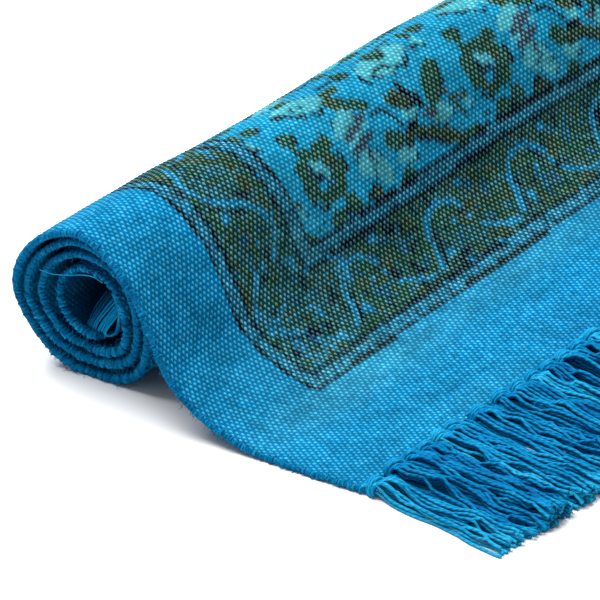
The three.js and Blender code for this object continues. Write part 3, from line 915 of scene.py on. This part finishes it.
def lay_front_fringe():
    """Paths of the yarns on the floor, in the order in which they fall, and then the knots."""
    random = np.random.default_rng(17)
    # where the tassels stand across the rug, and the width of cloth that each is taken from
    rest = TASSELS - len(FIRST_TASSELS)
    steps = 1 + 0.45 * (random.random(rest) - 0.5)
    steps *= (CLOTH_WIDTH - 6 - FIRST_TASSELS[-1]) / steps.sum()
    heads = np.array(FIRST_TASSELS + list(FIRST_TASSELS[-1] + np.cumsum(steps)))
    shares = np.diff(np.concatenate([[0], (heads[1:] + heads[:-1]) / 2, [CLOTH_WIDTH]]))
    heap = Heap((-60, -200), (CLOTH_WIDTH + 40, -40))
    order, paths = [], []
    # a yarn falls with its tassel or among the next one's, and those under a tassel fall before it
    for tassel, (head, share) in enumerate(zip(heads, shares)):
        count = int(np.clip(round(share * END_YARNS_PER_MM), FEWEST_YARNS, MOST_YARNS))
        own = random.random(6)
        first = tassel == 0
        bundle = {
            "head": head, "edge": woven_end(head), "tone": own[0],
            "lean": np.interp(head, *zip(*LEAN)) + (0.0 if first else 0.10 * (own[1] - 0.5)),
            "sway": (2 if first else 12) * (own[2] - 0.5), "swing": 70 + 50 * own[3],
            "phase": 6.28 * own[4], "width": share * 1.25 + 5,
            "length": FRINGE_LENGTH - 8 * first + 6 * (own[5] - 0.5),
            "neck": float(np.clip(0.25 * share, 3.8, 6.2)),
        }
        for yarn in range(count):
            place = (yarn + 0.5) / count * 2 - 1
            order.append((tassel + 1.1 * random.random(), place, bundle))
        spread = END_SPREAD if tassel in (0, TASSELS - 1) else UNDER_SPREAD
        for yarn in range(UNDER_YARNS):
            place = spread * ((yarn + 0.5) / UNDER_YARNS * 2 - 1)
            order.append((tassel - 1.0, place, bundle))
    order.sort(key=lambda row: row[0])
    for _, place, bundle in order:
        own = random.random(6)
        # from inside the knot to the cut tip it fans out, leans and swings with its tassel, and
        # waves a little on its own, more slowly and then finely
        s = np.arange(-3.0, bundle["length"] + 5 * (own[0] - 0.5), 1.0)
        fan = np.clip((s - 5) / (bundle["length"] - 5), 0, 1)
        neck = place * bundle["neck"]
        x = bundle["head"] + neck + (place * bundle["width"] / 2 - neck) * fan ** 0.8
        x = x + bundle["lean"] * np.clip(s, 0, None)
        x = x + wave(s, bundle["sway"] * fan ** 0.6, bundle["swing"], bundle["phase"])
        loose = wave(s, 0.3 + 1.9 * own[1], 46 + 40 * own[2], 6.28 * own[3])
        x = x + (loose + 9 * (own[4] - 0.5) * fan) * np.clip((s - 4) / 30, 0, 1)
        x = x + wave(s, 0.22, 15 + 8 * own[5], 6.28 * own[1])
        y = bundle["edge"] - s
        # it rests on the heap, and the knot holds it down
        z = heap.lay(np.stack([x, y, np.interp(s, *zip(*LOW))], axis=1), YARN / 2)
        z = np.minimum(z, np.interp(s, *zip(*HIGH)) + 0.8 * (own[2] - 0.5))
        # its points are closer together at the knot, and its tip is fuller and paler
        marks = [np.linspace(0, 20, 6), np.linspace(20, len(s) - 1, 17)[1:]]
        marks = np.concatenate(marks).round().astype(int)
        fat = np.full(len(marks), 0.94 + 0.16 * own[3])
        fat[-1] *= 1.15
        tone = 0.55 * bundle["tone"] + 0.45 * own[5] + 0.4 * (marks > len(s) - 9)
        paths.append((np.stack([x[marks], y[marks], z[marks]], axis=1), tone, fat))

    # Each tassel is hitched round its neighbour's warps: four yarns side by side over its neck
    for head, share in zip(heads, shares):
        yaw = math.radians(24 + 26 * random.random())
        tone, set_out = random.random(), 3.6 + 2.6 * random.random()
        reach = float(np.clip(0.27 * share, 4.2, 6.6)) + 1.6
        turn = np.radians(np.linspace(*KNOT_ARC, 10))
        for strand in range(KNOT_STRANDS):
            place = (KNOT_STRANDS - 1) / 2 - strand
            shift, off = place * KNOT_PITCH, abs(place)
            wide = (reach - 0.9 * off + 0.8 * random.random()) * np.cos(turn)
            tall = 8.2 - 1.2 * off + 0.8 * random.random()
            x = head + wide * math.cos(yaw) + shift * math.sin(yaw)
            y = woven_end(head) - set_out - wide * math.sin(yaw) + shift * math.cos(yaw)
            z = np.maximum(3.6 + tall * np.sin(turn), 1.1)
            own_tone = 0.45 + 0.3 * tone + 0.25 * random.random()
            paths.append((np.stack([x, y, z], axis=1), own_tone, KNOT_FAT))
    return paths


yarns = yarn_tree(yarn_material())
floor_paths = lay_front_fringe()
front_fringe = spin("fringe_on_the_floor", floor_paths, yarns, sides=5)
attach(front_fringe, "root")
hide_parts("fringe_front")


# Selvedges: the weft turns back at both edges of the cloth round the outermost warps. The turns
# and the warps between them stand proud as soft uneven bumps, which one sees on the roll's end.
# Their yarns keep to the deeper blues of the yarn's colours, as painted shade on that end.
SELVEDGE_YARN = 1.9
# points of a turn: distance in from the edge, height, place along the edge in picks, fatness
TURN_ACROSS = [2.9, 1.4, 0.0, -0.9, 0.0, 1.4, 2.9]
TURN_LIFT = [1.0, 1.75, 1.4, 0.0, -1.4, -1.75, -1.0]
TURN_ALONG = [-0.5, -0.4, -0.2, 0.0, 0.2, 0.4, 0.5]
TURN_FAT = [0.8, 0.95, 1.05, 1.15, 1.05, 0.95, 0.8]
# half picks past which the cloth lies in the roll, and heights over which the turns get fuller
IN_ROLL, FULL_BELOW, FULLEST_BELOW = 260, 60, 15


def lay_selvedges():
    """Paths of the turns of weft, two to a pick, along the near edge and then the far one."""
    random = np.random.default_rng(31)
    in_from_edge, up, past = np.array(TURN_ACROSS), np.array(TURN_LIFT), np.array(TURN_ALONG)
    paths = []
    for edge in (0, 1):
        for ply in range(2, 2 * PICKS - 2):
            own = random.random(7)
            out = in_from_edge - (1.5 * own[0] - 0.5) * (in_from_edge < 1)
            out = out - 0.9 * (patches(ply, edge * 40, 9, 33) - 0.5)
            across = out if edge == 0 else CLOTH_WIDTH - out
            slant = 0.9 if ply % 2 else 0.2
            along = (ply / 2 + 0.25 + slant * past + 0.35 * (own[1] - 0.5)) * PICK_PITCH
            # the edge is fuller where the turns of the roll lie on each other
            low = cloth_course.at(along)[2].mean()
            pressed = np.clip((FULL_BELOW - low) / (FULL_BELOW - FULLEST_BELOW), 0, 1)
            full = 1 + 0.3 * (ply > IN_ROLL) * pressed
            lift = up * (0.78 + 0.34 * own[2]) * full ** 1.6 + 0.9 * (own[5] - 0.5)
            line = cloth_place(across, along, lift)
            fat = full * (0.8 + 0.4 * own[3]) * np.array(TURN_FAT)
            line[:, 2] = np.maximum(line[:, 2], SELVEDGE_YARN / 2 * fat)
            # a tone of at most 0.6 keeps the turns deep blue: painted shade for the roll's end
            paths.append((line, 0.6 * own[4], fat * SELVEDGE_YARN / YARN))
    return paths


selvedge_paths = lay_selvedges()
selvedges = spin("selvedge_turns", selvedge_paths, yarns, sides=5)
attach(selvedges, "root")
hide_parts("rug")


# Fringe of the inner end: the same knotted yarns, curled along the wall inside the roll, where
# they show in the mouth of the roll.
INNER_YARNS_PER_TASSEL = 7
# angle and distance from the middle of the roll
INNER_CURL = [(335, 23.8), (0, 24.0), (45, 22.6), (90, 20.2), (135, 17.2), (180, 14.8)]
# how far a yarn is drawn to the middle of its tassel, at places along it
GATHER = [(0, 0), (8, 0.5), (30, 0.2)]
# places across the rug up to which the yarns are half as long, and up to which they lie aside
SHORT_UP_TO, ASIDE_UP_TO = 50, 60
# The first tassel stands open in the mouth of the roll. Each row is where its yarns leave the
# cloth, pass the mouth or end, for its first, middle and last yarn
MOUTH_RUN = [
    ((34, 189, 33), (31, 177, 34), (31, 169.5, 34)),
    ((33, 186, 38.5), (30, 177.5, 38.2), (29, 168.8, 37.4)),
    ((42, 187, 46), (31, 163.8, 61), (29.5, 161.8, 50.7)),
    ((52, 186, 52), (40, 160.5, 68), (38, 159.5, 60)),
]
# places of its yarns: 0 is the first, 1 the middle and 2 the last
MOUTH_YARNS = [0.0, 0.22, 0.4, 0.62, 0.8, 1.0, 1.22, 1.4, 1.58, 1.78, 2.0]


def lay_inner_fringe():
    """Paths of the yarns along the wall of the roll, and then of the open tassel."""
    random = np.random.default_rng(23)
    end = cloth_course.points[-1]
    run_y, run_z = cloth_course.run[-1]
    points = [end + [0, run_y * step, run_z * step] for step in (-2.0, 5.3)]
    points += [on_roll(angle, radius, end[0]) for angle, radius in INNER_CURL]
    curl = Course(np.array(points))
    paths = []
    count = TASSELS * INNER_YARNS_PER_TASSEL
    for yarn in range(count):
        place = (yarn + 0.5) / count * CLOTH_WIDTH
        tassel = (math.floor(place / (CLOTH_WIDTH / TASSELS)) + 0.5) * CLOTH_WIDTH / TASSELS
        length = curl.length * (0.93 + 0.07 * (random.random() - 0.5))
        length *= 0.5 if place < SHORT_UP_TO else 1
        s = np.linspace(0, length, 15)
        gather = np.interp(s, *zip(*GATHER, (length, 0.0)))
        own = random.random(4)
        sway = (1 + 3 * own[0]) * np.sin(s / (8 + 5 * own[1]) + 6.28 * own[2])
        across = place + (tassel - place) * gather + sway * np.clip(s / 20, 0, 1)
        aside = 5 * np.clip(s / length, 0, 1) * (place < ASIDE_UP_TO)
        across = np.maximum(across - aside, 1.0)
        lift = (own[3] - 0.5) * 1.5 * np.clip(s / 6, 0, 1)
        set_back, y, z, run_y, run_z = curl.at(s)
        x, y, z = settle(across, y, z, set_back)
        path = np.stack([x, y - run_z * lift, z + run_y * lift], axis=1)
        paths.append((path, 0.7 * random.random(), 0.95))

    for share in MOUTH_YARNS:
        part, own = min(int(share), 1), random.random(4)
        low, high = np.array(MOUTH_RUN, float)[:, part:part + 2].transpose(1, 0, 2)
        run = low + (high - low) * (share - part)
        run[1:] += 1.2 * (random.random((3, 3)) - 0.5)
        run[2:] += (5 * own[0], 0, 0)
        # a low tone, lowest for the first yarns that reach deepest into the roll, is painted shade in the
        # mouth of the roll
        tone = 0.1 + 0.25 * share + 0.2 * own[1]
        paths.append((smooth_line(run, 5), tone, 0.56 + 0.12 * own[2]))
    return paths


inner_fringe = spin("fringe_in_the_roll", lay_inner_fringe(), yarns)
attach(inner_fringe, "root")
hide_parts("fringe_inner")


# Loose thread and stray fibres: one fine thread lies across the roll's end, and short cotton
# fibres stand off the selvedges, the knots and the cut tips of the fringe.
LOOSE_THREAD = [
    (-3, 198.4, 88.3), (-4, 187, 88.8), (-4, 174.5, 91.6),
    (-3, 163, 94.6), (-2, 155.2, 94.8), (0, 150, 91.5),
]
LOOSE_THICKNESS = 0.7
FIBRE = 0.34
# fibres on the near selvedge, the far one and the fringe
FIBRES = (4600, 900, 900)


def stray_fibres():
    """Paths of the loose thread, and then of the fibres, which stand off any way."""
    random = np.random.default_rng(41)
    paths = [(smooth_line(np.array(LOOSE_THREAD, float), 5), 0.6, LOOSE_THICKNESS / YARN)]

    def stand(root, size, thickness):
        """A bent fibre that stands off a place and gets thinner towards its tip."""
        away = random.normal(size=3)
        away /= np.linalg.norm(away)
        bend = random.normal(size=3)
        steps = np.linspace(0, 1, 4)[:, None]
        line = root + away * (0.7 + steps * size) + bend * np.sin(steps * 2.6) * size * 0.35
        line[:, 2] = np.maximum(line[:, 2], FIBRE)
        fat = thickness / YARN * (1 - 0.4 * steps[:, 0])
        paths.append((line, 0.3 + 0.5 * random.random(), fat))

    half = len(selvedge_paths) // 2
    for first, count in ((0, FIBRES[0]), (half, FIBRES[1])):
        for turn in random.integers(first, first + half, count):
            root = selvedge_paths[turn][0][random.integers(1, 6)]
            longest = np.interp(root[2], [0, 50, 80], [5.5, 4.5, 2.6])
            stand(root, random.uniform(0.7, longest), FIBRE * random.uniform(0.7, 1.2))
    for yarn in random.integers(0, len(floor_paths), FIBRES[2]):
        line = floor_paths[yarn][0]
        stand(line[-1 - int(3 * random.random() ** 2)], random.uniform(2, 7), 0.5 * FIBRE)
    return paths


fibres = spin("stray_fibres", stray_fibres(), yarns, sides=3)
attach(fibres, "root")
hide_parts("rug")


# Floor, light and camera: a pale studio floor with one soft light from above and behind, and the
# long lens of the picture.
FLOOR_REACH = 30.0
FLOOR_COLOUR, FLOOR_ROUGHNESS = (0.86, 0.86, 0.86), 0.7
# the light's place, the side of its square and its power in watts, and the world's share
LIGHT_PLACE, LIGHT_SIDE, LIGHT_POWER = (-0.12, 1.0, 2.6), 2.3, 184
WORLD_STRENGTH = 0.45
CAMERA_PLACE = (-5.0048, -3.2944, 3.0291)
CAMERA_AIM, CAMERA_ROLL = Vector((0.72552, 0.51359, -0.45809)), -0.24
CAMERA_LENS = 597.7


def plain_material(name, colour, roughness):
    material = bpy.data.materials.new(name)
    material.use_nodes = True
    shader = material.node_tree.nodes["Principled BSDF"]
    shader.inputs["Base Color"].default_value = (*colour, 1)
    shader.inputs["Roughness"].default_value = roughness
    return material


floor_mesh = bpy.data.meshes.new("floor")
edges = (-FLOOR_REACH, FLOOR_REACH)
floor_corners = [(edges[i], edges[j], 0) for i, j in ((0, 0), (1, 0), (1, 1), (0, 1))]
floor_mesh.from_pydata(floor_corners, [], [(0, 1, 2, 3)])
floor_mesh.materials.append(plain_material("pale_floor", FLOOR_COLOUR, FLOOR_ROUGHNESS))
floor = bpy.data.objects.new("floor", floor_mesh)
bpy.context.collection.objects.link(floor)

world = bpy.data.worlds.new("studio")
world.use_nodes = True
background = world.node_tree.nodes["Background"]
background.inputs["Color"].default_value = (1.0, 1.0, 1.0, 1)
background.inputs["Strength"].default_value = WORLD_STRENGTH
bpy.context.scene.world = world


def soft_light(name, place, aim, size, power):
    lamp = bpy.data.lights.new(name, "AREA")
    lamp.shape = "RECTANGLE"
    lamp.size, lamp.size_y = size
    lamp.energy = power
    light = bpy.data.objects.new(name, lamp)
    light.location = place
    light.rotation_euler = (Vector(aim) - Vector(place)).to_track_quat("-Z", "Y").to_euler()
    bpy.context.collection.objects.link(light)
    return light


soft_light("key_light", LIGHT_PLACE, (0, 0, 0), (LIGHT_SIDE, LIGHT_SIDE), LIGHT_POWER)

camera_data = bpy.data.cameras.new("camera")
camera_data.sensor_width = 36
camera_data.lens = CAMERA_LENS
camera_data.clip_end = 100
camera = bpy.data.objects.new("camera", camera_data)
camera.location = CAMERA_PLACE
aimed = CAMERA_AIM.to_track_quat("-Z", "Y").to_matrix().to_4x4()
rolled = Matrix.Rotation(math.radians(CAMERA_ROLL), 4, "Z")
camera.rotation_euler = (aimed @ rolled).to_euler()
bpy.context.collection.objects.link(camera)
bpy.context.scene.camera = camera
bpy.context.scene.view_settings.view_transform = "Standard"
